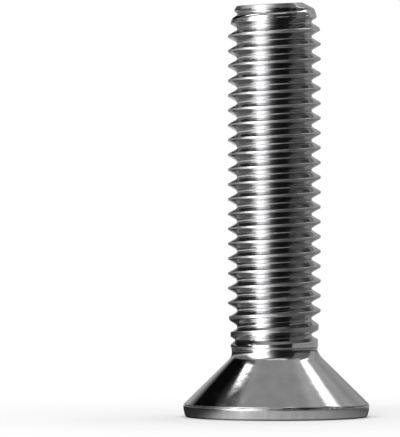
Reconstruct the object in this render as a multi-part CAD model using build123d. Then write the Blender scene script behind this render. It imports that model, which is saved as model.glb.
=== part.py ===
from build123d import *
import os
from math import ceil, cos, radians, tan

# Countersunk socket screw, metric M8 x 35, headed and thread-rolled in one piece.
#
# Frame: millimetres. The origin is the middle of the flat head face, which the
# screw stands on. +Z runs along the axis to the point. Angles about the axis
# start at +X and grow towards +Y.
#
# The blank is one revolved profile: head, neck, shank and point. A sleeve round
# the shank, with a threaded rod taken out of it, is what rolling presses away:
# cut from the blank it leaves the thread. A hexagonal tool cuts the socket.

# ---- Whole screw ----
OVERALL_LENGTH = 35.0  # head face to point, as a countersunk screw is measured

# ---- Head ----
HEAD_DIAMETER = 15.76  # widest, where the cone meets the rim
RIM_HEIGHT = 1.06
RIM_FOOT_DIAMETER = 15.42  # the rim tapers in to the bevel of its face
FACE_DIAMETER = 15.1
FACE_BEVEL_HEIGHT = 0.2
CONE_ANGLE = 91.0  # degrees, whole angle: 90 to 92 is standard

# ---- Socket for a 5 mm key ----
SOCKET_WIDTH = 5.1  # across flats
SOCKET_DEPTH = 3.9  # to the corners of its floor
SOCKET_FLOOR_ANGLE = 150.0  # degrees, whole angle of the punched floor
MOUTH_DIAMETER = 6.55  # lead-in at the face
MOUTH_ANGLE = 120.0  # degrees, whole angle of the lead-in

# ---- Neck between cone and thread ----
NECK_STEP = 0.29  # from the crest's radius to the neck's, the radius that the blank had
NECK_FILLET = 0.9
NECK_LENGTH = 0.75  # cone to the start of the swell
SWELL_LENGTH = 2.9  # over which the crests grow to full height

# ---- Right-hand thread ----
# Its section is a plain V through the crest and the root.
THREAD_DIAMETER = 7.86  # over the crests: 7.760 to 7.972 is M8 class 6g
THREAD_PITCH = 1.25
THREAD_DEPTH = 0.767  # crest to root, 0.6134 of the pitch
ROOT_OFFSET = 0.64  # cone to a place where the root crosses +X
RUNOUT_OFFSET = 0.95  # cone to where the groove has risen out of the neck
RUNOUT_LENGTH = 0.75  # along the axis, from there to the full depth

# ---- Rolled point ----
POINT_LENGTH = 2.6  # tapered end of the crests, chamfer included
POINT_STEP = 0.48  # from the crest's radius to that at the foot of the chamfer
CHAMFER_LENGTH = 0.65
CHAMFER_STEP = 0.85  # from there to the radius of the end

# ---- Tools ----
MARGIN = 0.1  # by which a cutting surface passes what it cuts

# ---- Worked out from the above ----
head_radius = HEAD_DIAMETER / 2
crest_radius = THREAD_DIAMETER / 2
root_radius = crest_radius - THREAD_DEPTH
neck_radius = crest_radius - NECK_STEP
point_radius = crest_radius - POINT_STEP
tip_radius = point_radius - CHAMFER_STEP
blank_radius = crest_radius + MARGIN
sleeve_radius = blank_radius + MARGIN
cone_top = RIM_HEIGHT + (head_radius - neck_radius) / tan(radians(CONE_ANGLE / 2))
point_foot = OVERALL_LENGTH - POINT_LENGTH
chamfer_foot = OVERALL_LENGTH - CHAMFER_LENGTH


def on_line(start, end, radius):
    """The (radius, height) at a radius on the straight line through two others."""
    share = (radius - start[0]) / (end[0] - start[0])
    return (radius, start[1] + share * (end[1] - start[1]))


def revolved(*outline):
    """A solid turned about Z from a closed outline of (radius, height) corners."""
    with BuildSketch(Plane.XZ) as profile:
        with BuildLine():
            Polyline(*outline, close=True)
        make_face()
    return revolve(profile.sketch, Axis.Z)


def blank():
    """Head, neck, shank and point before the thread is rolled."""
    neck_foot = (neck_radius, cone_top)
    swell_foot = (neck_radius, cone_top + NECK_LENGTH)
    swell_top = (crest_radius, swell_foot[1] + SWELL_LENGTH)
    point_top = (point_radius, chamfer_foot)
    with BuildSketch(Plane.XZ) as profile:
        with BuildLine():
            Polyline(
                (0, 0),
                (FACE_DIAMETER / 2, 0),
                (RIM_FOOT_DIAMETER / 2, FACE_BEVEL_HEIGHT),
                (head_radius, RIM_HEIGHT),
                neck_foot,
                swell_foot,
                on_line(swell_foot, swell_top, blank_radius),
                on_line((crest_radius, point_foot), point_top, blank_radius),
                point_top,
                (tip_radius, OVERALL_LENGTH),
                (0, OVERALL_LENGTH),
                close=True,
            )
        make_face()
        fillet(profile.vertices().sort_by_distance(neck_foot)[0], NECK_FILLET)
    return revolve(profile.sketch, Axis.Z)


def sleeve():
    """A ring round the shank. The cone at its foot lets the groove fade out at the neck."""
    runout_foot = (neck_radius, cone_top + RUNOUT_OFFSET)
    runout_top = (root_radius, runout_foot[1] + RUNOUT_LENGTH)
    outer_foot = on_line(runout_foot, runout_top, neck_radius + MARGIN)
    inner_foot = on_line(runout_foot, runout_top, root_radius - MARGIN)
    top = OVERALL_LENGTH + MARGIN
    return revolved(
        outer_foot,
        inner_foot,
        (inner_foot[0], top),
        (sleeve_radius, top),
        (sleeve_radius, outer_foot[1]),
    )


def helix(radius, height):
    """One turn of a right-hand helix that starts on +X."""
    return Edge.make_helix(THREAD_PITCH, THREAD_PITCH, radius, (0, 0, height))


def axis_line(height):
    """The stretch of the axis beside one turn."""
    return Edge.make_line((0, 0, height), (0, 0, height + THREAD_PITCH))


def rod_end(height):
    """The two faces that close the rod at one turn: a helical floor and a flat wall."""
    floor = Face.make_surface_from_curves(axis_line(height), helix(root_radius, height))
    wall = Wire.make_polygon(
        [
            (0, 0, height),
            (root_radius, 0, height),
            (crest_radius, 0, height + THREAD_PITCH / 2),
            (root_radius, 0, height + THREAD_PITCH),
            (0, 0, height + THREAD_PITCH),
        ]
    )
    return [floor, Face(wall)]


def threaded_rod():
    """A long rod with a plain V thread, from below the neck to past the point."""
    foot = cone_top + ROOT_OFFSET - 2 * THREAD_PITCH
    turns = ceil((OVERALL_LENGTH - foot) / THREAD_PITCH) + 1
    faces = rod_end(foot) + rod_end(foot + turns * THREAD_PITCH)
    root = helix(root_radius, foot)
    for turn in range(turns):
        height = foot + turn * THREAD_PITCH
        crest = helix(crest_radius, height + THREAD_PITCH / 2)
        next_root = helix(root_radius, height + THREAD_PITCH)
        faces.append(Face.make_surface_from_curves(root, crest))
        faces.append(Face.make_surface_from_curves(crest, next_root))
        root = next_root
    return Solid(Shell(faces))


def cone_height(radius, whole_angle):
    """How far a cone of this radius and whole angle reaches to its point."""
    return radius / tan(radians(whole_angle / 2))


def socket():
    """Hexagonal socket with a conical lead-in and a conical floor."""
    corner_radius = SOCKET_WIDTH / 2 / cos(radians(30))
    floor_point = SOCKET_DEPTH + cone_height(corner_radius, SOCKET_FLOOR_ANGLE)
    mouth_radius = MOUTH_DIAMETER / 2
    flats = extrude(RegularPolygon(corner_radius, 6), floor_point)
    round_bar = revolved((0, 0), (corner_radius, 0), (corner_radius, SOCKET_DEPTH), (0, floor_point))
    lead_in = revolved((0, 0), (mouth_radius, 0), (0, cone_height(mouth_radius, MOUTH_ANGLE)))
    return (flats & round_bar) + lead_in


def countersunk_socket_screw():
    """The finished screw, one solid."""
    return blank() - (sleeve() - threaded_rod()) - socket()


os.makedirs("parts", exist_ok=True)
export_step(countersunk_socket_screw(), "parts/countersunk_socket_screw.step")
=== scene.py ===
"""Finished look of a countersunk socket screw, M8 x 35, that stands on its head.

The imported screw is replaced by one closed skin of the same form, with what a thread rolled from
wire really has: 60 degree flanks, small crest flats with rounded edges and a fine seam, rounded
roots, a groove that fades out at the neck, and a cupped end that was sheared off and has its
chamfer on one side only. Lengths are in millimetres until the skin becomes a mesh. Angles about
the axis start at +X and grow towards +Y.
"""

import logging
import math
from dataclasses import dataclass
from enum import Enum

import bpy
import numpy as np
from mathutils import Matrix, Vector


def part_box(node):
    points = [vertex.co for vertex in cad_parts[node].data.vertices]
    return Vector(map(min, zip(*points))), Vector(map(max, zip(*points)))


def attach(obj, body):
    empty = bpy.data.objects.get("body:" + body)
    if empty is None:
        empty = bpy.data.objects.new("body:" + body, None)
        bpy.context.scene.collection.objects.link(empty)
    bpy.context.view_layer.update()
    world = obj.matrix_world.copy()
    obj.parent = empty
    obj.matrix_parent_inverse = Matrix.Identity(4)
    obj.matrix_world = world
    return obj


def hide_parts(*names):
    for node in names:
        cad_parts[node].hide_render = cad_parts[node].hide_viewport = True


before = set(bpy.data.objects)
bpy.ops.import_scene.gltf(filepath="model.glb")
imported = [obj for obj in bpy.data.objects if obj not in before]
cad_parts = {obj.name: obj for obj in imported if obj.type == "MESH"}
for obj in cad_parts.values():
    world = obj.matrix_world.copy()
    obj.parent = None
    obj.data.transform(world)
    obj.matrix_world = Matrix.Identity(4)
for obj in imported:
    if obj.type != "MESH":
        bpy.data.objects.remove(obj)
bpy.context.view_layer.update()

NODE = "countersunk_socket_screw"
MM = 0.001
COLUMNS = 144  # round the axis: a multiple of 12 puts the socket's corners on columns
TURN = 2 * math.pi
LOG = logging.getLogger("screw")


# ---------------------------------------------------------------------------
# Curves and grids
# ---------------------------------------------------------------------------


def soft_max(first: np.ndarray, second: np.ndarray, blend: np.ndarray) -> np.ndarray:
    """The larger of two values, with the corner between them rounded.

    Formula: the mean of both, plus half the length of a vector of their difference and the blend.

    Args:
        first: One set of values.
        second: The other set.
        blend: How far the rounding reaches. Nothing is rounded at 0.

    Returns:
        The rounded maximum, in the shape of the arguments.
    """
    return (first + second + np.hypot(first - second, blend)) / 2


def soft_min(first: np.ndarray, second: np.ndarray, blend: np.ndarray) -> np.ndarray:
    """The smaller of two values, rounded as in soft_max."""
    return -soft_max(-first, -second, blend)


def ease(value: np.ndarray, start: float, end: float) -> np.ndarray:
    """A smooth step from 0 at start to 1 at end.

    Formula: with the share of the way clipped to 0 and 1, three of its squares less two cubes.

    Args:
        value: Where to read the step.
        start: Value at which it leaves 0.
        end: Value at which it reaches 1.

    Returns:
        The step, in the shape of value.
    """
    share = np.clip((value - start) / (end - start), 0.0, 1.0)
    return share * share * (3 - 2 * share)


@dataclass(frozen=True)
class Wander:
    """Smooth random unevenness along a line."""

    spacing: float  # between the knots that it is drawn through
    seed: int
    size: float  # its greatest value

    def at(self, place: np.ndarray, circuit: float | None = None) -> np.ndarray:
        """The unevenness at places along the line.

        Formula: seeded random knots stand a spacing apart, and half a cosine wave joins each to
        the next.

        Args:
            place: Places along the line.
            circuit: Length after which the line closes on itself, or None if it is open.

        Returns:
            Values between minus and plus the size, in the shape of place.
        """
        generator = np.random.default_rng(self.seed)
        if circuit is not None:
            count = max(3, round(circuit / self.spacing))
            cell = place / circuit * count
        else:
            cell = (place - place.min()) / self.spacing
            count = int(cell.max()) + 2
        knots = generator.uniform(-1.0, 1.0, count)
        lower = np.floor(cell + 1e-9).astype(int)
        share = np.clip(cell - lower, 0.0, 1.0)
        blend = (1 - np.cos(np.pi * share)) / 2
        return self.size * (knots[lower % count] * (1 - blend) + knots[(lower + 1) % count] * blend)


def angles() -> np.ndarray:
    """The angle of every column. The last column closes on the first."""
    return np.linspace(0.0, TURN, COLUMNS + 1)


def spread(pairs: list) -> np.ndarray:
    """Makes rows of a grid from (radius, height) pairs.

    Formula: each value is repeated over the columns, unless it is an array over them already.

    Args:
        pairs: One pair for each row.

    Returns:
        The rows, as (rows, columns, 2).
    """
    column = np.zeros(COLUMNS + 1)
    rows = [np.stack([radius + column, height + column], axis=-1) for radius, height in pairs]
    return np.stack(rows)


def rounded(corners: list, reaches: tuple[float, ...], steps: int = 4) -> np.ndarray:
    """Carries a profile through its corners and rounds those that lie between its ends.

    Formula: a rounded corner is a parabola. It leaves the run before the corner at the reach from
    it, joins the run after it as far on, and the corner is its control point.

    Args:
        corners: (radius, height) pairs, as spread takes them.
        reaches: For each corner between the two ends, how far its rounding reaches. At 0 it stays
            sharp.
        steps: Rows that each parabola takes after its first.

    Returns:
        The profile, as (rows, columns, 2).
    """
    path = spread(corners)
    share = np.linspace(0.0, 1.0, steps + 1)[:, None, None]
    rows = [path[:1]]
    for number, reach in enumerate(reaches, start=1):
        before, corner, after = path[number - 1], path[number], path[number + 1]
        if reach == 0:
            rows.append(corner[None])
            continue
        back = (before - corner) / np.linalg.norm(before - corner, axis=-1, keepdims=True)
        ahead = (after - corner) / np.linalg.norm(after - corner, axis=-1, keepdims=True)
        leave, join = corner + reach * back, corner + reach * ahead
        rows.append((1 - share) ** 2 * leave + 2 * share * (1 - share) * corner + share**2 * join)
    rows.append(path[-1:])
    return np.concatenate(rows)


def turned(profile: np.ndarray) -> np.ndarray:
    """Puts a profile round the axis.

    Formula: radius times the cosine and sine of the column's angle, and the height.

    Args:
        profile: (rows, columns, 2) of radius and height.

    Returns:
        (rows, columns, 3) of x, y and z.
    """
    angle = angles()
    radius, height = profile[..., 0], profile[..., 1]
    return np.stack([radius * np.cos(angle), radius * np.sin(angle), height], axis=-1)


class Zone(Enum):
    """The stretches of the screw that differ in finish, numbered as their material slots."""

    SOCKET = 0
    FACE = 1
    RIM = 2
    CONE = 3
    THREAD = 4


@dataclass
class Patch:
    """A grid of points with the finish that it carries.

    Rows run from the socket's floor out over the head and along the shank to the point, and columns
    run round the axis.
    """

    points: np.ndarray
    zone: Zone
    groove: np.ndarray | None = None  # how deep each point lies in a groove, from 0 to 1

    def depth(self) -> np.ndarray:
        """The groove depth of every point, in one row.

        Returns:
            The depths, 0 where the patch has none.
        """
        if self.groove is None:
            return np.zeros(self.points.shape[0] * self.points.shape[1])
        return self.groove.ravel()

    def triangles(self, start: int) -> np.ndarray:
        """Two triangles for each cell, facing outwards.

        Args:
            start: Number of the grid's first vertex.

        Returns:
            Vertex numbers, as (count, 3).
        """
        rows, columns = self.points.shape[:2]
        index = start + np.arange(rows * columns).reshape(rows, columns)
        low, low_next = index[:-1, :-1].ravel(), index[:-1, 1:].ravel()
        high, high_next = index[1:, :-1].ravel(), index[1:, 1:].ravel()
        return np.concatenate(
            [np.stack([low, low_next, high_next], axis=1), np.stack([low, high_next, high], axis=1)]
        )


def welded(patches: list[Patch]) -> tuple[np.ndarray, np.ndarray, np.ndarray, np.ndarray]:
    """Joins grids along their shared edges into one closed skin.

    Formula: places are counted in steps of a hundred-thousandth of a millimetre, equal counts are
    one vertex, and a triangle with fewer than three different vertices is left out.

    Args:
        patches: The grids, each starting where the one before it ends.

    Returns:
        Vertices as (count, 3), the groove depth of each, triangles as (count, 3), and the zone
        number of each triangle.
    """
    step = 1e-5
    places, faces, zones, start = [], [], [], 0
    for patch in patches:
        faces.append(patch.triangles(start))
        zones.append(np.full(len(faces[-1]), patch.zone.value))
        places.append(patch.points.reshape(-1, 3))
        start += len(places[-1])
    place, face, zone = np.concatenate(places), np.concatenate(faces), np.concatenate(zones)
    depth = np.concatenate([patch.depth() for patch in patches])
    counts = np.round(place / step).astype(np.int64)
    _, first, same = np.unique(counts, axis=0, return_index=True, return_inverse=True)
    face = same.reshape(-1)[face]
    whole = (face[:, 0] != face[:, 1]) & (face[:, 1] != face[:, 2]) & (face[:, 2] != face[:, 0])
    return place[first], depth[first], face[whole], zone[whole]


def mesh_object(
    name: str, points: np.ndarray, faces: list[list[int]], values: dict[str, np.ndarray]
) -> bpy.types.Object:
    """Makes a mesh and its object, which sits at the origin.

    Args:
        name: Name of both.
        points: Vertices as (count, 3), in millimetres.
        faces: Vertex numbers of each face.
        values: Attributes of the vertices, by name.

    Returns:
        The object.
    """
    mesh = bpy.data.meshes.new(name)
    mesh.from_pydata((points * MM).tolist(), [], faces)
    for attribute, value in values.items():
        layer = mesh.attributes.new(attribute, "FLOAT", "POINT")
        layer.data.foreach_set("value", value.astype(np.float32))
    made = bpy.data.objects.new(name, mesh)
    bpy.context.scene.collection.objects.link(made)
    return made


# ---------------------------------------------------------------------------
# The screw
# ---------------------------------------------------------------------------


@dataclass
class Socket:
    """Hexagonal socket for a 5 mm key, open at the head face."""

    width: float = 5.1
    depth: float = 3.9  # to the corners of its floor
    floor_angle: float = 150.0
    mouth_radius: float = 3.275  # of the conical lead-in, at the face
    mouth_angle: float = 120.0
    face_margin: float = 0.3  # ring of the head face that belongs to the socket's skin
    corner_round: float = 0.08
    edge_reach: float = 0.07  # of the rounding at both ends of the lead-in
    floor_reach: float = 0.12  # of the rounding round the floor
    floor_share: float = 0.8  # of the way to the wall, as far as the floor's own rows go
    floor_rows: int = 6

    @property
    def corner_radius(self) -> float:
        """Distance from the axis to a sharp corner of the hexagon."""
        return self.width / 2 / math.cos(TURN / 12)

    @property
    def end_radius(self) -> float:
        """Radius on the head face where the socket's skin ends."""
        return self.mouth_radius + self.face_margin

    def wall_radius(self) -> np.ndarray:
        """Distance from the axis to the wall at each column.

        Formula: half the width over the cosine of the angle from the nearest flat's middle, with
        the corners rounded off by a soft minimum.

        Returns:
            One distance for each column.
        """
        sixth = TURN / 6
        from_middle = np.mod(angles(), sixth) - sixth / 2
        flat = self.width / 2 / np.cos(from_middle)
        corner = self.corner_radius - self.corner_round / 2
        return soft_min(flat, np.full_like(flat, corner), self.corner_round)

    def skin(self) -> list[Patch]:
        """The floor and the walls, up to the edge of the mouth.

        Formula: floor and lead-in are cones, so their height changes with the wall's distance from
        the axis. The wall joins the two at each column.

        Returns:
            One grid.
        """
        wall = self.wall_radius()
        floor_slope = 1 / math.tan(math.radians(self.floor_angle / 2))
        mouth_slope = 1 / math.tan(math.radians(self.mouth_angle / 2))
        floor_top = self.depth + self.corner_radius * floor_slope
        floor_edge = self.depth + (self.corner_radius - wall) * floor_slope
        lead_in_edge = (self.mouth_radius - wall) * mouth_slope
        share = np.linspace(0.0, self.floor_share, self.floor_rows)[:, None]
        floor = np.stack([share * wall, floor_top + share * (floor_edge - floor_top)], axis=-1)
        sides = rounded(
            [
                floor[-1].T,
                (wall, floor_edge),
                (wall, lead_in_edge),
                (self.mouth_radius, 0.0),
                (self.end_radius, 0.0),
            ],
            (self.floor_reach, self.edge_reach, self.edge_reach),
        )
        return [Patch(turned(np.concatenate([floor, sides[1:]])), Zone.SOCKET)]


@dataclass
class Head:
    """Flat face, rim and 91 degree cone."""

    radius: float
    neck_radius: float
    face_start: float  # radius at which it takes the head face over from the socket
    rim_height: float = 1.06
    rim_foot_radius: float = 7.72
    face_radius: float = 7.6
    bevel_height: float = 0.12
    bevel_reach: float = 0.1
    cone_angle: float = 91.0
    neck_fillet: float = 1.2
    fillet_steps: int = 10
    fillet_below: float = 1.5  # the cone's own rows end this many reaches below the corner
    fillet_above: float = 1.1  # and the head's skin ends this many above it
    face_rows: int = 6
    cone_rows: int = 14

    # Upright shoulder of the rim, and its lip
    shoulder_height: float = 0.66  # the rim is almost upright above this
    shoulder_step: float = 0.03  # from the widest radius to the shoulder's
    shoulder_reach: float = 0.15
    lip_height: float = 0.97  # the rim turns in to the crease above this
    lip_step: float = 0.005  # from the widest radius to the lip's
    lip_reach: float = 0.04

    # Crease between the lip and the cone
    crease_depth: float = 0.09
    crease_height: float = 1.04
    crease_share: float = 0.9  # of that depth, about which it wanders
    crease_least: float = 0.15
    crease_rough: Wander = Wander(0.9, 11, 0.5)
    crease_fine: Wander = Wander(0.35, 12, 0.35)
    seat_step: float = 0.04  # from the rim's height up to the foot of the cone
    seat_reach: float = 0.03
    seat_length: float = 0.1  # from there to the cone's first row

    @property
    def cone_slope(self) -> float:
        """Radius that the cone loses for each millimetre of height."""
        return math.tan(math.radians(self.cone_angle / 2))

    @property
    def cone_top(self) -> float:
        """Height at which the cone would meet the neck."""
        return self.rim_height + (self.radius - self.neck_radius) / self.cone_slope

    @property
    def fillet_reach(self) -> float:
        """How far the fillet reaches from where the cone would meet the neck."""
        return self.neck_fillet * math.tan(math.radians(45 - self.cone_angle / 4))

    @property
    def neck_start(self) -> float:
        """Height just above the fillet, where the head's skin ends."""
        return self.cone_top + self.fillet_above * self.fillet_reach

    def on_cone(self, height: float | np.ndarray) -> float | np.ndarray:
        """Radius of the cone at a height."""
        return self.radius - (height - self.rim_height) * self.cone_slope

    def crease(self) -> np.ndarray:
        """How deep the trimmed edge bites in under the cone.

        Formula: a depth that wanders round the rim, in rough and in fine waves.

        Returns:
            One depth for each column.
        """
        place, circuit = angles() * self.radius, TURN * self.radius
        rough = self.crease_rough.at(place, circuit)
        fine = self.crease_fine.at(place, circuit)
        share = np.clip(self.crease_share + rough + fine, self.crease_least, None)
        return self.crease_depth * share

    def skin(self) -> list[Patch]:
        """Face, rim and cone, up to the foot of the neck.

        Formula: profiles of straight runs with rounded corners, turned about the axis. Under the
        cone the profile steps in by the depth of the crease and out again to the rim's lip.

        Returns:
            Three grids.
        """
        face_end = self.face_radius - 2 * self.bevel_reach
        face_radii = np.linspace(self.face_start, face_end, self.face_rows)
        face = spread([(radius, 0.0) for radius in face_radii])
        crease = self.crease()
        seat = self.rim_height + self.seat_step
        rim = rounded(
            [
                (face_end, 0.0),
                (self.face_radius, 0.0),
                (self.rim_foot_radius, self.bevel_height),
                (self.radius - self.shoulder_step, self.shoulder_height),
                (self.radius - self.lip_step, self.lip_height),
                (self.on_cone(seat) - crease, self.crease_height - crease / 4),
            ],
            (self.bevel_reach, self.bevel_reach, self.shoulder_reach, self.lip_reach),
        )
        cone_end = self.cone_top - self.fillet_below * self.fillet_reach
        cone_heights = np.linspace(seat + self.seat_length, cone_end, self.cone_rows)
        straight = spread([(self.on_cone(height), height) for height in cone_heights])
        seat_corners = [rim[-1].T, (self.on_cone(seat), seat), straight[0].T]
        foot = rounded(seat_corners, (self.seat_reach,))
        neck = [(self.neck_radius, self.cone_top), (self.neck_radius, self.neck_start)]
        top = rounded([straight[-1].T, *neck], (self.fillet_reach,), self.fillet_steps)
        cone = np.concatenate([foot, straight[1:], top[1:]])
        return [
            Patch(turned(face), Zone.FACE),
            Patch(turned(rim), Zone.RIM),
            Patch(turned(cone), Zone.CONE),
        ]


@dataclass
class Shank:
    """Neck, right-hand thread and point."""

    length: float
    neck_foot: float
    neck_radius: float = 3.64
    crest_radius: float = 3.93
    pitch: float = 1.25
    flank_angle: float = 60.0
    crest_flat: float = 0.03  # half the width of the flat that rolling leaves on the crest
    crest_round: float = 0.1  # radius
    root_round: float = 0.16  # radius
    groove_depth: float = 0.77
    crest_at_x: float = 0.242  # height of a crest over +X, less any number of pitches
    blend: float = 0.02  # rounds the edges where swell, crests and grooves meet

    # Neck and runout
    collar_height: float = 5.86
    collar_step: float = 0.055
    collar_rise: float = 0.03  # height over which it steps out
    collar_reaches: tuple[float, float] = (0.015, 0.025)
    swell_foot: float = 5.95
    swell_top: float = 8.9
    swell_power: float = 2.5
    runout_foot: float = 6.15
    runout_top: float = 6.7
    runout_radius: float = 3.1  # down to which the groove may cut from there on
    lag: float = 0.17  # the first turn sits lower by this, where the dies let go
    lag_rise: float = 0.5  # height over which the lag comes in
    lag_start: float = 7.4
    lag_end: float = 8.8

    # Point
    point_foot: float = 32.4
    chamfer_radius: float = 3.43
    chamfer_length: float = 0.55
    chamfer_blend: float = 0.12
    chamfer_side: tuple[float, float] = (0.4, 0.95)  # cosines of the angle where it comes in
    end_radius: float = 3.23  # where the bar was sheared and no chamfer is left
    chamfered_radius: float = 2.35  # over +X, where the chamfer is whole
    end_blend: float = 0.1  # the crests grow rounder by this towards the end
    end_blend_heights: tuple[float, float] = (33.0, 34.4)
    groove_fade: float = 0.25  # height over which the last groove fades out
    ragged: Wander = Wander(0.12, 31, 0.02)
    ragged_length: float = 1.2  # height over which the ragged edge comes in
    rings_from: float = 34.5
    ring_rows: int = 12
    ripple: Wander = Wander(0.06, 34, 0.012)  # marks of the shear round the end
    ripple_shift: Wander = Wander(0.5, 33, 0.03)  # by which they wander up and down
    ripple_rise: float = 0.1  # height over which they come in
    drop: float = 0.3  # the end is this much lower over -X
    drop_from: float = 34.2

    # Cupped end face, as depths below the end
    bevel_foot: float = 0.04
    bevel_top: float = 0.01
    bevel_width: float = 0.02
    burr: Wander = Wander(0.09, 32, 0.03)
    cup_radius: float = 1.9
    cup_edge: float = 0.06
    cup_depth: float = 0.2
    end_reaches: tuple[float, float] = (0.025, 0.3)

    # Seam along the crest
    seam_depth: float = 0.02
    seam_half_width: float = 0.04
    seam_share: float = 0.55  # of that depth, about which it wanders
    seam_most: float = 1.6
    seam_rough: Wander = Wander(0.22, 21, 0.9)
    seam_slow: Wander = Wander(1.7, 22, 0.5)
    seam_rise: float = 1.0  # height over which it comes in

    # Where the finish has neither roots nor crests
    plain_depth: float = 0.5  # the groove depth that says so
    plain_length: float = 1.0  # last stretch of the thread, which is plain throughout

    # Rows of one pitch, as distances from the crest
    crest_rows: tuple[float, ...] = (
        0.0, 0.02, 0.04, 0.06, 0.085, 0.115, 0.2, 0.33, 0.44, 0.485, 0.53, 0.58
    )

    def envelope(self, height: np.ndarray, angle: np.ndarray) -> np.ndarray:
        """Radius that the crests keep to.

        Formula: from the collar it swells with a power of the share of the way to the full crest
        radius. Towards the end it falls along the straight point and the chamfer, which is whole
        over +X and eases off to nothing towards the sheared side. Soft minima join the three.

        Args:
            height: Heights above the head face.
            angle: Angles about the axis.

        Returns:
            The radii, in the shape that both broadcast to.
        """
        collar_radius = self.neck_radius + self.collar_step
        share = np.clip((height - self.swell_foot) / (self.swell_top - self.swell_foot), 0.0, 1.0)
        swell = collar_radius + (self.crest_radius - collar_radius) * share**self.swell_power
        chamfer_foot = self.length - self.chamfer_length
        point_fall = (self.crest_radius - self.chamfer_radius) / (chamfer_foot - self.point_foot)
        point = self.crest_radius - point_fall * (height - self.point_foot)
        whole = ease(np.cos(angle), *self.chamfer_side)
        end_radius = self.end_radius + (self.chamfered_radius - self.end_radius) * whole
        chamfer_fall = (self.chamfer_radius - end_radius) / self.chamfer_length
        chamfer = self.chamfer_radius - chamfer_fall * (height - chamfer_foot)
        return soft_min(swell, soft_min(point, chamfer, self.chamfer_blend), self.blend)

    def sharp_section(self, offset: np.ndarray) -> np.ndarray:
        """Radius of the full thread.

        Formula: a straight flank joins two arcs that are tangent to it, a small one at the edge of
        the crest's flat and a larger one round the root.

        Args:
            offset: Distances along the axis from the middle of the nearest crest.

        Returns:
            The radii, in the shape of offset.
        """
        half = math.radians(self.flank_angle / 2)
        sharp_crest = self.crest_radius + self.crest_round * (1 / math.sin(half) - 1)
        sharp_crest += self.crest_flat / math.tan(half)
        flank = sharp_crest - offset / math.tan(half)
        sharp_root = sharp_crest - self.pitch / 2 / math.tan(half)
        crest_reach = self.crest_round * math.cos(half)
        root_reach = self.root_round * math.cos(half)
        out = np.clip(offset - self.crest_flat, 0.0, crest_reach)
        crest = self.crest_radius - self.crest_round + np.sqrt(self.crest_round**2 - out**2)
        across = np.clip(self.pitch / 2 - offset, -root_reach, root_reach)
        root_middle = sharp_root + self.root_round / math.sin(half)
        root = root_middle - np.sqrt(self.root_round**2 - across**2)
        section = np.where(offset < self.crest_flat + crest_reach, crest, flank)
        return np.where(offset > self.pitch / 2 - root_reach, root, section)

    def seam(self, along: np.ndarray, offset: np.ndarray) -> np.ndarray:
        """Depth of the seam that rolling leaves along the crest.

        Formula: a depth that wanders along the crest, times one less the share of the half width.

        Args:
            along: Places along the crest.
            offset: Distances from its middle, in the same shape.

        Returns:
            The depths, in the same shape.
        """
        rough, slow = self.seam_rough.at(along), self.seam_slow.at(along)
        depth = self.seam_depth * np.clip(self.seam_share + rough + slow, 0.0, self.seam_most)
        return depth * np.clip(1 - offset / self.seam_half_width, 0.0, 1.0)

    def thread(self) -> Patch:
        """The threaded stretch as a grid whose rows follow the helix.

        Formula: a row keeps its distance from the crest and climbs one pitch in a turn. Rows are
        cut off level at both ends. At each point the groove is the envelope less the section,
        never deeper than the runout allows, and it fades out before the end.

        Returns:
            One grid, with the groove depth of each point.
        """
        angle = angles()
        climb = self.pitch * angle / TURN
        low, high = self.swell_foot, self.rings_from
        mirrored = [self.pitch - row for row in self.crest_rows[:0:-1]]
        pattern = np.array([*self.crest_rows, self.pitch / 2, *mirrored])
        first = math.floor((low - self.crest_at_x) / self.pitch) - 1
        last = math.ceil((high - self.crest_at_x) / self.pitch)
        crests = self.crest_at_x + self.pitch * np.arange(first, last + 1)
        starts = (crests[:, None] + pattern).reshape(-1, 1)
        height = np.clip(starts + climb, low, high)
        turns = (height - climb - self.crest_at_x) / self.pitch
        crest_number = np.round(turns)
        offset = np.abs(turns - crest_number) * self.pitch
        along = (crest_number * TURN + angle) * self.crest_radius

        lag = self.lag * (1 - ease(height, self.lag_start, self.lag_end))
        height = height - lag * ease(height, low, low + self.lag_rise)
        envelope = self.envelope(height, angle)
        blend = self.blend + self.end_blend * ease(height, *self.end_blend_heights)
        groove = soft_max(envelope - self.sharp_section(offset), 0.0, blend)
        runout = ease(height, self.runout_foot, self.runout_top)
        runout = runout * (self.neck_radius - self.runout_radius)
        allowed = runout + np.clip(envelope - self.neck_radius, 0.0, None) * (runout > 0)
        groove = soft_min(groove, allowed, np.minimum(self.blend, allowed))
        groove = groove * (1 - ease(height, high - self.groove_fade, high))

        seam = self.seam(along, offset) * ease(height, low, low + self.seam_rise)
        ragged = self.ragged.at(angle, TURN) * ease(height, high - self.ragged_length, high)
        radius = envelope - groove - seam + ragged
        points = turned(np.stack([radius, self.leant(height, angle)], axis=-1))
        plain = 1 - ease(height, self.runout_foot, self.lag_start)
        plain = plain + ease(height, self.point_foot, high - self.plain_length)
        depth = groove / self.groove_depth * (1 - plain) + self.plain_depth * plain
        return Patch(points, Zone.THREAD, np.clip(depth, 0.0, 1.0))

    def leant(self, height: np.ndarray, angle: np.ndarray) -> np.ndarray:
        """Height with the end of the point leaning, lowest over -X, as it was sheared off."""
        drop = self.drop * (1 - np.cos(angle)) / 2
        return height - drop * ease(height, self.drop_from, self.length)

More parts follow.
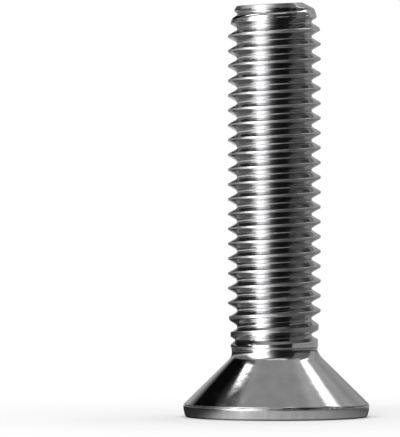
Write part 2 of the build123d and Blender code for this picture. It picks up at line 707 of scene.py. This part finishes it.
    def skin(self) -> list[Patch]:
        """Neck, thread and end face.

        Formula: the neck and the end are turned profiles. The last rows of the end keep the lean
        and the ragged edge of the thread's last row.

        Returns:
            Three grids.
        """
        angle = angles()
        collar_radius = self.envelope(np.array(self.swell_foot), angle)
        neck = rounded(
            [
                (self.neck_radius, self.neck_foot),
                (self.neck_radius, self.collar_height),
                (collar_radius, self.collar_height + self.collar_rise),
                (collar_radius, self.swell_foot),
            ],
            self.collar_reaches,
        )
        thread = self.thread()
        edge_radius = np.hypot(thread.points[-1, :, 0], thread.points[-1, :, 1])
        rings_to = self.length - self.bevel_foot
        height = np.linspace(self.rings_from, rings_to, self.ring_rows)[:, None]
        ripple = self.ripple.at(height + self.ripple_shift.at(angle, TURN))
        ripple = ripple * ease(height, self.rings_from, self.rings_from + self.ripple_rise)
        rings = self.envelope(height, angle) + ripple
        rings = rings + edge_radius - rings[0]
        burr = np.minimum(self.burr.at(angle, TURN), 0.0)
        face = rounded(
            [
                (rings[-1], rings_to),
                (rings[-1] - self.bevel_width, self.length - self.bevel_top + burr),
                (self.cup_radius, self.length - self.cup_edge),
                (0.0, self.length - self.cup_depth),
            ],
            self.end_reaches,
        )
        wall = np.stack([rings, height + 0.0 * angle], axis=-1)
        end = np.concatenate([wall, face[1:]])
        end[..., 1] = self.leant(end[..., 1], angle)
        return [
            Patch(turned(neck), Zone.THREAD),
            thread,
            Patch(turned(end), Zone.THREAD),
        ]


# ---------------------------------------------------------------------------
# Nodes
# ---------------------------------------------------------------------------


Source = bpy.types.NodeSocket | float | tuple[float, ...]


class Operation(Enum):
    """What a Math node does with its two values."""

    ADD = "ADD"
    SUBTRACT = "SUBTRACT"
    MULTIPLY = "MULTIPLY"
    MAXIMUM = "MAXIMUM"


class Course(Enum):
    """How a value goes from one end of a span to the other."""

    STRAIGHT = "LINEAR"
    SMOOTH = "SMOOTHSTEP"


@dataclass
class Wiring:
    """A node tree, with short ways to add nodes that are already linked."""

    tree: bpy.types.NodeTree

    def fill(self, node: bpy.types.Node, inputs: dict[str | int, Source]) -> None:
        """Sets or links some inputs of a node.

        Args:
            node: The node.
            inputs: A value, or an output of another node, for each input's name or number.
        """
        for name, source in inputs.items():
            if isinstance(source, bpy.types.NodeSocket):
                self.tree.links.new(source, node.inputs[name])
            else:
                node.inputs[name].default_value = source

    def node(
        self, kind: str, inputs: dict[str | int, Source] | None = None, **settings: str | bool
    ) -> bpy.types.bpy_prop_collection:
        """Adds a node to the right of those before it.

        Args:
            kind: Its type.
            inputs: As fill takes them.
            settings: Values of its own properties, by name.

        Returns:
            Its outputs.
        """
        node = self.tree.nodes.new(kind)
        node.location = (200 * len(self.tree.nodes), 0)
        for name, setting in settings.items():
            setattr(node, name, setting)
        self.fill(node, inputs or {})
        return node.outputs

    def attribute(self, name: str) -> bpy.types.NodeSocket:
        """Reads a value that the mesh carries."""
        return self.node("ShaderNodeAttribute", attribute_name=name)["Fac"]

    def result(
        self, operation: Operation, first: Source, second: Source, clamped: bool = False
    ) -> bpy.types.NodeSocket:
        """The result of an operation on two values, kept between 0 and 1 where it is clamped."""
        settings = {"operation": operation.value, "use_clamp": clamped}
        return self.node("ShaderNodeMath", {0: first, 1: second}, **settings)["Value"]

    def course(
        self,
        value: bpy.types.NodeSocket,
        span: tuple[float, float],
        ends: tuple[float, float] = (0.0, 1.0),
        kind: Course = Course.SMOOTH,
    ) -> bpy.types.NodeSocket:
        """Carries a value over from one span to another.

        Args:
            value: The value.
            span: Where the course begins and ends.
            ends: What it gives before its beginning and after its end.
            kind: How it goes between them.

        Returns:
            The result.
        """
        names = ("Value", "From Min", "From Max", "To Min", "To Max")
        inputs = dict(zip(names, (value, *span, *ends)))
        return self.node("ShaderNodeMapRange", inputs, interpolation_type=kind.value)["Result"]

    def mixed(
        self,
        share: bpy.types.NodeSocket,
        first: bpy.types.NodeSocket,
        second: bpy.types.NodeSocket,
    ) -> bpy.types.NodeSocket:
        """The first surface at share 0 and the second at share 1."""
        return self.node("ShaderNodeMixShader", {"Fac": share, 1: first, 2: second})["Shader"]


# ---------------------------------------------------------------------------
# Finishes
# ---------------------------------------------------------------------------


@dataclass(frozen=True)
class Grain:
    """A pattern of fine marks, as noise that is stretched along some of the axes."""

    across: float  # marks per metre along X and Y
    up: float  # marks per metre along Z
    detail: float = 4.0
    strength: float = 0.2  # of the bump, where the marks make one
    depth: float = 0.00002  # of that bump, in metres

    def noise(self, wiring: Wiring) -> bpy.types.NodeSocket:
        """Adds the noise, on Object coordinates.

        Args:
            wiring: The material's nodes.

        Returns:
            The noise.
        """
        coordinates = wiring.node("ShaderNodeTexCoord")["Object"]
        scale = (self.across, self.across, self.up)
        place = wiring.node("ShaderNodeMapping", {"Vector": coordinates, "Scale": scale})["Vector"]
        inputs = {"Vector": place, "Scale": 1.0, "Detail": self.detail}
        return wiring.node("ShaderNodeTexNoise", inputs)["Fac"]


@dataclass(frozen=True)
class Steel:
    """A finish of stainless steel: its gloss, how the gloss varies and its marks."""

    name: str
    colour: tuple[float, float, float]  # where it is not stained
    gloss: tuple[float, float]  # roughness in the smoothest and the dullest places
    gloss_grain: Grain
    marks: Grain
    stain: float = 0.12  # share of the colour that stains take away
    root_gloss: float = 0.0  # roughness that the roots of the thread gain
    crest_gloss: float = 0.0  # roughness that its crests gain
    painted_highlight_gain: float = 1.2  # painted highlight: by how much the colour of both is brighter than that of the stained flanks
    roots: tuple[float, float] = (0.985, 1.0)  # groove depths where roots begin and are whole
    crests: tuple[float, float] = (0.06, 0.02)  # the same for crests
    middle: tuple[float, float] = (0.35, 0.7)  # where most of a noise lies

    def material(self) -> bpy.types.Material:
        """Builds the material.

        Formula: metal whose roughness and stains follow the gloss grain, and whose bump follows
        the marks. On a thread the roots and the crests are rougher, and brighter in colour as a
        painted highlight, by the groove depth that the skin carries.

        Returns:
            The material.
        """
        material = bpy.data.materials.new(self.name)
        material.use_nodes = True
        wiring = Wiring(material.node_tree)
        noise = self.gloss_grain.noise(wiring)
        rough = wiring.course(noise, self.middle, self.gloss, Course.STRAIGHT)
        stain_and_painted_highlight = wiring.course(noise, self.middle, (1.0 - self.stain, 1.0), Course.STRAIGHT)
        if self.root_gloss:
            groove = wiring.attribute("groove")
            for span, gloss in ((self.roots, self.root_gloss), (self.crests, self.crest_gloss)):
                gain = wiring.course(groove, span, (0.0, gloss))
                rough = wiring.result(Operation.ADD, rough, gain)
                # painted highlight: the colour of roots and crests is made brighter
                painted_highlight = wiring.course(groove, span, (1.0, self.painted_highlight_gain))
                stain_and_painted_highlight = wiring.result(Operation.MULTIPLY, stain_and_painted_highlight, painted_highlight)
        colour = {0: self.colour, "Scale": stain_and_painted_highlight}
        tint = wiring.node("ShaderNodeVectorMath", colour, operation="SCALE")
        height = self.marks.noise(wiring)
        bump = {"Strength": self.marks.strength, "Distance": self.marks.depth, "Height": height}
        inputs = {
            "Metallic": 1.0,
            "Roughness": rough,
            "Base Color": tint["Vector"],
            "Normal": wiring.node("ShaderNodeBump", bump)["Normal"],
        }
        wiring.fill(wiring.tree.nodes["Principled BSDF"], inputs)
        return material


STEEL_COLOUR = (0.60, 0.60, 0.605)

FINISHES: dict[Zone, Steel] = {
    Zone.SOCKET: Steel(
        "pressed_socket_steel",
        STEEL_COLOUR,
        (0.12, 0.2),
        Grain(400, 400),
        Grain(3000, 600),
    ),
    Zone.FACE: Steel(
        "satin_face_steel",
        STEEL_COLOUR,
        (0.26, 0.36),
        Grain(900, 900),
        Grain(5000, 5000, strength=0.35),
    ),
    Zone.RIM: Steel(
        "satin_rim_steel",
        STEEL_COLOUR,
        (0.12, 0.22),
        Grain(1500, 300),
        Grain(6000, 900, strength=0.3),
    ),
    Zone.CONE: Steel(
        "bright_cone_steel",
        STEEL_COLOUR,
        (0.06, 0.11),
        Grain(700, 700),
        Grain(2500, 2500, strength=0.12),
    ),
    Zone.THREAD: Steel(
        "rolled_thread_steel",
        STEEL_COLOUR,
        (0.05, 0.10),
        Grain(500, 2500),
        Grain(900, 5000, strength=0.15),
        root_gloss=0.9,
        crest_gloss=0.3,
    ),
}


@dataclass
class Screw:
    """The whole screw as one closed skin."""

    socket: Socket
    head: Head
    shank: Shank
    offset: float = 0.17  # by which the shank stands off the head's middle, towards -X
    offset_heights: tuple[float, float] = (4.75, 5.9)  # heights between which it comes in
    sharp_angle: float = 40.0  # degrees between faces, above which an edge stays sharp

    @classmethod
    def from_box(cls, low: np.ndarray, high: np.ndarray) -> "Screw":
        """Sizes the screw from the CAD node's box.

        Args:
            low: Lowest corner, in metres.
            high: Highest corner, in metres.

        Returns:
            The screw, with its length and head width taken from the box.
        """
        socket = Socket()
        radius = (high[1] - low[1]) / 2 / MM
        head = Head(radius=radius, neck_radius=Shank.neck_radius, face_start=socket.end_radius)
        shank = Shank(length=high[2] / MM, neck_foot=head.neck_start)
        return cls(socket, head, shank)

    def build(self) -> bpy.types.Object:
        """Makes the skin.

        Formula: the grids of socket, head and shank are welded, and from the neck up the points
        move towards -X by a smooth step of their height.

        Returns:
            Its mesh object, in metres, with its place in the mesh.
        """
        patches = self.socket.skin() + self.head.skin() + self.shank.skin()
        vertices, depths, faces, zones = welded(patches)
        vertices[:, 0] -= self.offset * ease(vertices[:, 2], *self.offset_heights)
        screw = mesh_object("screw_skin", vertices, faces.tolist(), {"groove": depths})
        mesh = screw.data
        mesh.polygons.foreach_set("material_index", zones.astype(np.int32))
        mesh.polygons.foreach_set("use_smooth", np.ones(len(faces), dtype=bool))
        mesh.set_sharp_from_angle(angle=math.radians(self.sharp_angle))
        mesh.update()
        return screw

    def dress(self, screw: bpy.types.Object) -> None:
        """Gives each zone its finish, in the order of the zone numbers."""
        for zone in Zone:
            screw.data.materials.append(FINISHES[zone].material())


# ---------------------------------------------------------------------------
# Studio
# ---------------------------------------------------------------------------


@dataclass(frozen=True)
class Glow:
    """A stretch of the studio tent that is lighter or darker than the rest.

    Azimuths are in degrees from the camera, growing to the right, and elevations in degrees above
    the horizon. The camera's left is at -90 and the far side at -180 and 180.
    """

    azimuth: tuple[float, float]  # at the height of the horizon
    elevation: tuple[float, float]
    level: float
    soft: tuple[float, float, float, float] = (3.0, 3.0, 3.0, 3.0)  # left, right, bottom, top
    lean: float = 0.0  # degrees by which it moves to the right with each degree of elevation

    def mask(self, azimuth: np.ndarray, elevation: np.ndarray) -> np.ndarray:
        """Share of this glow in each direction.

        Formula: the product of four smooth steps, one at each of its edges.

        Args:
            azimuth: Azimuths, in degrees.
            elevation: Elevations, in degrees and in the same shape.

        Returns:
            Shares from 0 to 1, in the same shape.
        """
        left, right, bottom, top = (max(soft, 0.01) for soft in self.soft)
        azimuth = azimuth - self.lean * elevation
        (start, end), (foot, head) = self.azimuth, self.elevation
        across = ease(azimuth, start - left, start + left)
        across = across * (1 - ease(azimuth, end - right, end + right))
        upright = ease(elevation, foot - bottom, foot + bottom)
        return across * upright * (1 - ease(elevation, head - top, head + top))


def around(azimuth: np.ndarray, posts: tuple[tuple[float, float], ...]) -> np.ndarray:
    """Level of a light that changes smoothly round the screw.

    Formula: the logarithm of the level runs straight from one post to the next.

    Args:
        azimuth: Where to read it, in degrees from the camera.
        posts: (azimuth, level) pairs, from -180 to 180.

    Returns:
        The levels, in the shape of azimuth.
    """
    places, levels = zip(*posts)
    return np.exp(np.interp(azimuth, places, np.log(levels)))


@dataclass(frozen=True)
class Band:
    """A belt of the tent whose level changes smoothly round the screw."""

    top: float  # elevation at which it gives way to the next belt
    soft: float  # degrees above and below that over which it does
    posts: tuple[tuple[float, float], ...]  # (azimuth, level) pairs, from -180 to 180


@dataclass
class Tent:
    """A round tent of diffusers and dark cloths that only the metal's reflections see.

    Its lower half stands for the table top.
    """

    radius: float = 120.0
    centre: float = 10.0  # height from which directions are taken
    columns: int = 361
    rows: int = 181
    table: Band = Band(
        -62,
        3,
        ((-180, 0.6), (-110, 2.2), (-30, 2.6), (0, 2.4), (50, 2.2), (90, 1.0), (180, 0.5)),
    )
    apron: Band = Band(
        -26,
        4,
        (
            (-180, 0.2),
            (-80, 0.25),
            (-60, 0.6),
            (-40, 0.8),
            (-20, 0.4),
            (0, 0.05),
            (50, 0.05),
            (90, 0.25),
            (180, 0.2),
        ),
    )
    walls: Band = Band(
        52,
        5,
        (
            (-180, 1.0),  # white paper behind
            (-165, 0.5),
            (-150, 0.45),  # grey wall, left
            (-120, 0.45),
            (-105, 0.5),
            (-92, 0.8),
            (-80, 1.25),
            (-70, 2.1),
            (-62, 2.8),
            (-54, 3.9),  # softbox, front left
            (-38, 3.5),
            (-28, 2.2),
            (-20, 1.1),
            (-11, 0.33),
            (-2, 0.1),
            (8, 0.03),
            (20, 0.015),  # black cloth, front right
            (38, 0.02),
            (52, 0.03),
            (66, 0.05),
            (84, 0.08),  # dark wall, right
            (120, 0.1),
            (150, 0.25),
            (168, 0.3),
            (180, 1.0),
        ),
    )
    eaves: Band = Band(
        68,
        5,
        (
            (-180, 0.25),
            (-120, 0.25),
            (-95, 0.45),
            (-50, 0.7),
            (-35, 0.5),
            (-20, 0.2),
            (0, 0.07),
            (60, 0.07),
            (80, 0.35),
            (100, 0.55),
            (125, 0.6),
            (140, 0.45),
            (180, 0.5),
        ),
    )
    ceiling: Band = Band(90, 0, ((-180, 0.4), (180, 0.4)))  # the last one, up to the top
    glows: tuple[Glow, ...] = (
        Glow((-165, -57), (-8, 4.0), 0.03, (8, 9, 4, 3.2)),  # dark foot of the left wall
        Glow((-180, -82), (14, 52), 0.24, (0, 8, 4, 4)),  # dark cloth, left
        Glow((-30, -15), (-8, -0.5), 1.9, (4, 3, 2, 2)),  # foot of the softbox
        Glow((47, 180), (-8, 1), 0.45, (3, 0, 2, 3)),  # light foot of the right wall
        Glow((58, 112), (20, 54), 0.2, (4, 6, 5, 4)),  # pale cloth, right
        Glow((112, 142), (8, 64), 0.5, (6, 8, 6, 4)),  # grey cloth, back right
        Glow((142, 180), (8, 40), 0.42, (8, 0, 6, 6)),  # its lower part, behind
        Glow((-201, -156), (20, 54), 0.004, (4, 4, 4, 3), lean=1.0),  # black cloth, back left
        Glow((-50, 56), (66, 77), 1.0, (8, 8, 2, 2)),  # strip above the camera
        Glow((113.5, 124), (44, 68), 2.8, (2, 3, 6, 3)),  # strip, back right
        Glow((-125, -112), (52, 70), 6.0, (3, 3, 2, 3)),  # strip, back left
        Glow((-172, -160), (45, 62), 0.04, (1.5, 3, 3, 3), lean=1.0),  # card before that strip
    )

    def build(self) -> bpy.types.Object:
        """Makes the tent.

        Formula: a sphere's grid of azimuth and elevation. Each vertex carries the level of its belt
        at its azimuth, moved in turn towards the level of each glow by its mask.

        Returns:
            The tent, which only reflections see.
        """
        azimuth, elevation = np.meshgrid(
            np.linspace(-180, 180, self.columns), np.linspace(-90, 90, self.rows)
        )
        level = around(azimuth, self.table.posts)
        belts = (self.table, self.apron, self.walls, self.eaves, self.ceiling)
        for below, belt in zip(belts, belts[1:]):
            share = ease(elevation, below.top - below.soft, below.top + below.soft)
            level = level * (1 - share) + around(azimuth, belt.posts) * share
        for glow in self.glows:
            mask = glow.mask(azimuth, elevation)
            level = level * (1 - mask) + glow.level * mask
        turn, rise = np.radians(azimuth), np.radians(elevation)
        place = np.stack(
            [np.sin(turn) * np.cos(rise), -np.cos(turn) * np.cos(rise), np.sin(rise)], axis=-1
        )
        place = place.reshape(-1, 3) * self.radius + (0.0, 0.0, self.centre)
        index = np.arange(self.columns * self.rows).reshape(self.rows, self.columns)
        quads = np.stack([index[:-1, :-1], index[1:, :-1], index[1:, 1:], index[:-1, 1:]], axis=-1)
        faces = quads.reshape(-1, 4).tolist()
        tent = mesh_object("studio_tent", place, faces, {"level": level.ravel()})
        tent.data.materials.append(self.cloth())
        tent.visible_camera = False
        tent.visible_diffuse = False
        tent.visible_shadow = False
        return tent

    def cloth(self) -> bpy.types.Material:
        """The tent's cloth, which shines at the level of each vertex.

        Returns:
            The material.
        """
        material = bpy.data.materials.new("tent_cloth")
        material.use_nodes = True
        wiring = Wiring(material.node_tree)
        wiring.tree.nodes.clear()
        shine = wiring.node("ShaderNodeEmission", {"Strength": wiring.attribute("level")})
        wiring.node("ShaderNodeOutputMaterial", {"Surface": shine["Emission"]})
        return material


@dataclass(frozen=True)
class Lamp:
    """A square lamp that points at the screw and stays out of its reflections."""

    name: str
    place: tuple[float, float, float]  # in millimetres
    side: float  # in millimetres
    power: float  # in watts

    def build(self) -> None:
        """Adds the lamp to the scene."""
        data = bpy.data.lights.new(self.name, "AREA")
        data.size = self.side * MM
        data.energy = self.power
        lamp = bpy.data.objects.new(self.name, data)
        lamp.location = [value * MM for value in self.place]
        aim = -lamp.location
        lamp.rotation_euler = aim.to_track_quat("-Z", "Y").to_euler()
        lamp.visible_glossy = False
        lamp.visible_camera = False
        bpy.context.scene.collection.objects.link(lamp)


@dataclass
class Studio:
    """Floor, lamps, world and camera."""

    floor_colour: float = 0.86
    floor_fade: tuple[float, float] = (9.0, 45.0)  # distances over which it turns white
    rings: tuple[float, ...] = (7.0, 7.75, 7.85, 9.5, 11.0, 14.0, 18.0, 50.0, 70.0, 1500.0)
    spokes: int = 96
    lamps: tuple[Lamp, ...] = (
        Lamp("lamp_key", (-150, -260, 200), 160, 0.25),
        Lamp("lamp_top", (60, 80, 320), 220, 0.35),
    )
    world_level: float = 0.75  # of the light that it gives, where 1 is white
    camera_distance: float = 470.0
    camera_height: float = 22.0
    camera_side: float = -6.449  # it stands this far off, so the screw stands right of the middle
    aim_height: float = 16.755  # height that comes to the middle of the frame
    lens: float = 458.4

    # What the metal sees of the floor. Azimuths are those of the tent.
    contact: float = 7.78  # little light gets under the rim's edge, within this distance
    contact_share: float = 0.3
    mirrored: tuple[float, float] = (11.0, 16.0)  # distances over which it is lost from sight
    mirrored_dark: tuple[float, float] = (50.0, 70.0)  # the same on the dark side
    dark_side: tuple[float, ...] = (-175.0, -155.0, -68.0, -48.0)  # begins, whole, fading, gone
    shine: tuple[tuple[float, float], ...] = (
        (-180, 0.03),
        (-92, 0.03),  # shaded, left and behind
        (-68, 0.05),
        (-54, 0.18),
        (-44, 0.54),
        (-34, 0.8),
        (-24, 0.95),  # lit, front left
        (-16, 0.8),
        (-6, 0.66),
        (16, 0.54),
        (34, 0.47),
        (53, 0.33),
        (70, 0.25),
        (90, 0.15),
        (180, 0.04),
    )

    def floor(self) -> bpy.types.Object:
        """A wide pale disc at the height of the head face.

        Formula: rings of points round the axis. Each point carries the level at which the metal
        sees the paper there, by its own azimuth, and less of it under the rim's edge. It also
        carries how much it belongs to the dark side, by the product of three smooth steps.

        Returns:
            The floor.
        """
        azimuth = np.linspace(-180.0, 180.0, self.spokes + 1)[:-1]
        angle = np.radians(azimuth)
        rings = np.array(self.rings)
        radius = rings[:, None]
        place = np.stack(
            [radius * np.sin(angle), -radius * np.cos(angle), 0 * radius * angle], axis=-1
        )
        place = np.concatenate([[[0.0, 0.0, 0.0]], place.reshape(-1, 3)])
        share = np.where(rings > self.contact, 1.0, self.contact_share)
        near = 1 - ease(rings, *self.mirrored_dark)
        begins, whole, fading, gone = self.dark_side
        left = ease(azimuth, begins, whole) * (1 - ease(azimuth, fading, gone))
        values = {
            "level": np.outer(share, around(azimuth, self.shine)),
            "dark": np.outer(near, left),
        }
        values = {name: np.concatenate([[0.0], grid.ravel()]) for name, grid in values.items()}
        index = 1 + np.arange(self.spokes * len(rings)).reshape(-1, self.spokes)
        after = np.roll(index, -1, axis=1)
        inner = np.stack([0 * index[0], index[0], after[0]], axis=-1)
        outer = np.stack([index[:-1], index[1:], after[1:], after[:-1]], axis=-1).reshape(-1, 4)
        floor = mesh_object("studio_floor", place, inner.tolist() + outer.tolist(), values)
        floor.data.materials.append(self.floor_paper())
        return floor

    def floor_paper(self) -> bpy.types.Material:
        """Matt white paper.

        Formula: it fades into the white background with distance from the axis. The metal sees it
        at the level that its points carry, and only near the screw, because further out the tent
        stands for it. On the dark side it stays in the metal's sight further out.

        Returns:
            The material.
        """
        material = bpy.data.materials.new("floor_paper")
        material.use_nodes = True
        tree = material.node_tree
        wiring = Wiring(tree)
        paper = tree.nodes["Principled BSDF"]
        colour = (*[self.floor_colour] * 3, 1.0)
        wiring.fill(paper, {"Base Color": colour, "Roughness": 0.9, "Specular IOR Level": 0.0})
        place = wiring.node("ShaderNodeTexCoord")["Object"]
        distance = wiring.node("ShaderNodeVectorMath", {0: place}, operation="LENGTH")["Value"]
        spans = (self.floor_fade, self.mirrored)
        far, gone = (wiring.course(distance, (start * MM, end * MM)) for start, end in spans)
        ray = wiring.node("ShaderNodeLightPath")
        background = wiring.result(Operation.MULTIPLY, far, ray["Is Camera Ray"])
        gone = wiring.result(Operation.SUBTRACT, gone, wiring.attribute("dark"), clamped=True)
        white = wiring.node("ShaderNodeEmission")["Emission"]
        clear = wiring.node("ShaderNodeBsdfTransparent")["BSDF"]
        level = wiring.attribute("level")
        shine = wiring.node("ShaderNodeEmission", {"Strength": level})["Emission"]
        seen = wiring.mixed(background, paper.outputs["BSDF"], white)
        mirrored = wiring.mixed(gone, shine, clear)
        surface = wiring.mixed(ray["Is Glossy Ray"], seen, mirrored)
        wiring.fill(tree.nodes["Material Output"], {"Surface": surface})
        return material

    def world(self) -> None:
        """A world that is white where it is seen or mirrored, and softer as a light."""
        world = bpy.data.worlds.new("studio_world")
        world.use_nodes = True
        wiring = Wiring(world.node_tree)
        ray = wiring.node("ShaderNodeLightPath")
        seen = wiring.result(Operation.MAXIMUM, ray["Is Camera Ray"], ray["Is Glossy Ray"])
        seen = wiring.result(Operation.MAXIMUM, seen, ray["Is Transmission Ray"])
        level = wiring.course(seen, (0.0, 1.0), (self.world_level, 1.0), Course.STRAIGHT)
        background = wiring.tree.nodes["Background"]
        wiring.fill(background, {"Color": (1.0, 1.0, 1.0, 1.0), "Strength": level})
        bpy.context.scene.world = world

    def camera(self) -> None:
        """A long lens a little above the screw's middle, tilted down to it."""
        data = bpy.data.cameras.new("camera")
        data.lens = self.lens
        data.sensor_width = 36.0
        camera = bpy.data.objects.new("camera", data)
        place = (self.camera_side, -self.camera_distance, self.camera_height)
        camera.location = [value * MM for value in place]
        tilt = math.atan((self.camera_height - self.aim_height) / self.camera_distance)
        camera.rotation_euler = (math.pi / 2 - tilt, 0.0, 0.0)
        data.clip_start = 0.01
        data.clip_end = 10.0
        bpy.context.scene.collection.objects.link(camera)
        bpy.context.scene.camera = camera

    def build(self) -> None:
        """Sets up everything round the screw."""
        self.floor()
        Tent().build()
        for lamp in self.lamps:
            lamp.build()
        self.world()
        self.camera()
        bpy.context.scene.view_settings.view_transform = "Standard"


def main() -> None:
    """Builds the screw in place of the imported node, then the studio."""
    logging.basicConfig(level=logging.INFO, format="%(name)s: %(message)s")
    low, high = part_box(NODE)
    screw = Screw.from_box(np.array(low), np.array(high))
    piece = screw.build()
    screw.dress(piece)
    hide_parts(NODE)
    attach(piece, "root")
    LOG.info("%s: %d triangles", piece.name, len(piece.data.polygons))
    Studio().build()


if __name__ == "__main__":
    main()
